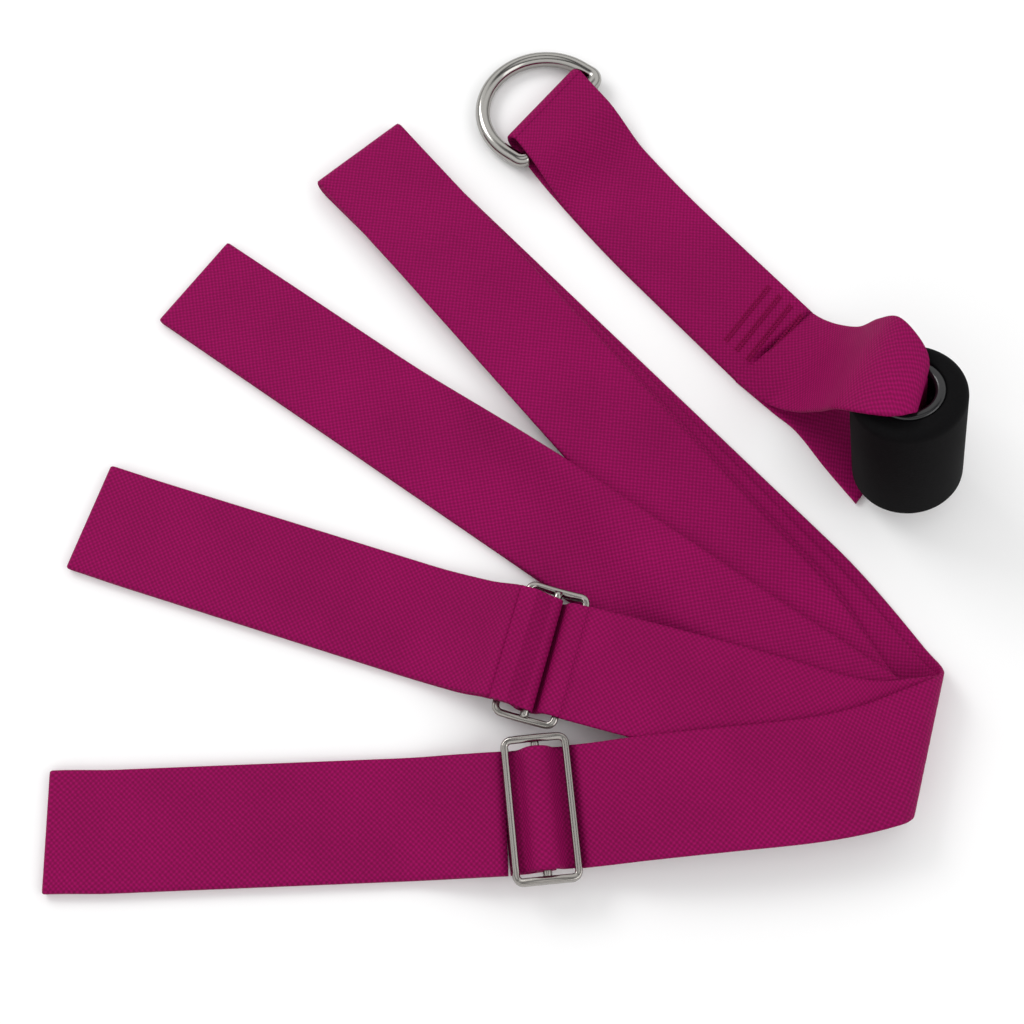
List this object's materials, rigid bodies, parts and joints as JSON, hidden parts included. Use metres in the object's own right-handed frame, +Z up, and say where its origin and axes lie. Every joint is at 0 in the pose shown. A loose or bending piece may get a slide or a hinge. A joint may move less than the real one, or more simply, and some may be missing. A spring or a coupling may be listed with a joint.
{
  "type": "stretching strap",
  "caption": "Long webbing strap with two adjustable loops, folded in a fan, and a short door strap with a D-ring and a foam roller.",
  "frame": {"origin": "on the table, at the middle of the folded outline seen from above", "axes": "+Z up; the fan opens towards -X, the door strap lies towards +Y"},
  "size_m": [0.2998, 0.3077, 0.0587],
  "materials": {
    "webbing": "matte woven polyester webbing, magenta",
    "thread": "satin polyester thread",
    "slide_steel": "bright nickel-plated steel",
    "ring_steel": "bright nickel-plated steel wire",
    "foam": "matte black closed-cell foam",
    "tube_plastic": "black polished plastic"
  },
  "bodies": {
    "webbing": {"front_loop_lower": "webbing", "front_loop_upper": "webbing", "front_run": "webbing", "inner_turn": "webbing", "long_finger_bottom": "webbing", "long_finger_second": "webbing", "long_finger_third": "webbing", "long_finger_top": "webbing", "long_tip_inner": "webbing", "long_tip_outer": "webbing", "mid_finger_lower": "webbing", "mid_finger_tip": "webbing", "mid_finger_upper": "webbing", "outer_turn": "webbing", "rear_loop_lower": "webbing", "rear_loop_upper": "webbing", "rear_run": "webbing", "second_turn": "webbing", "third_turn": "webbing"},
    "front_slide": {"front_slide_frame": "slide_steel", "front_centre_bar": "slide_steel", "front_sewn_end": "webbing", "front_threaded_webbing": "webbing"},
    "front_tip": {"front_loop_tip": "webbing"},
    "rear_slide": {"rear_slide_frame": "slide_steel", "rear_centre_bar": "slide_steel", "rear_sewn_end": "webbing", "rear_threaded_webbing": "webbing"},
    "rear_tip": {"rear_loop_tip": "webbing"},
    "door_strap": {"door_strap_bar_tacks": "thread", "door_strap_climb": "webbing", "door_strap_core": "webbing", "door_strap_crown": "webbing", "door_strap_eye": "webbing", "door_strap_lower": "webbing", "door_strap_underpass": "webbing", "door_strap_upper": "webbing"},
    "d_ring": {"d_ring": "ring_steel"},
    "anchor_roller": {"roller_foam_sleeve": "foam", "roller_tube": "tube_plastic"}
  },
  "joints": [
    {"name": "front_slide_travel", "type": "slide", "parent": "webbing", "child": "front_slide", "axis": [-0.9954, -0.0958, 0], "range_m": [0, 0.06], "deforming": ["front_run", "front_loop_upper", "front_loop_lower"]},
    {"name": "front_tip_travel", "type": "slide", "parent": "front_slide", "child": "front_tip", "axis": [-0.9992, -0.0401, 0], "range_m": [-0.03, 0]},
    {"name": "rear_slide_travel", "type": "slide", "parent": "webbing", "child": "rear_slide", "axis": [-0.9617, 0.274, 0], "range_m": [0, 0.06], "deforming": ["rear_run", "rear_loop_upper", "rear_loop_lower"]},
    {"name": "rear_tip_travel", "type": "slide", "parent": "rear_slide", "child": "rear_tip", "axis": [-0.9521, 0.3057, 0], "range_m": [-0.03, 0]},
    {"name": "door_strap_lift", "type": "slide", "parent": "webbing", "child": "door_strap", "axis": [0, 0, 1], "range_m": [0, 0.3]},
    {"name": "ring_swing", "type": "hinge", "parent": "door_strap", "child": "d_ring", "pos_m": [0.01791, 0.12526, 0.0044], "axis": [0.6018, 0.7986, 0], "range_deg": [0, 58]},
    {"name": "roller_spin", "type": "hinge", "parent": "door_strap", "child": "anchor_roller", "pos_m": [0.13294, -0.01501, 0.00713], "axis": [-0.2227, 0.1869, 0.9568], "continuous": true}
  ],
  "couplings": [
    {"joint": "front_tip_travel", "follows": "front_slide_travel", "ratio": -0.5},
    {"joint": "rear_tip_travel", "follows": "rear_slide_travel", "ratio": -0.5}
  ]
}
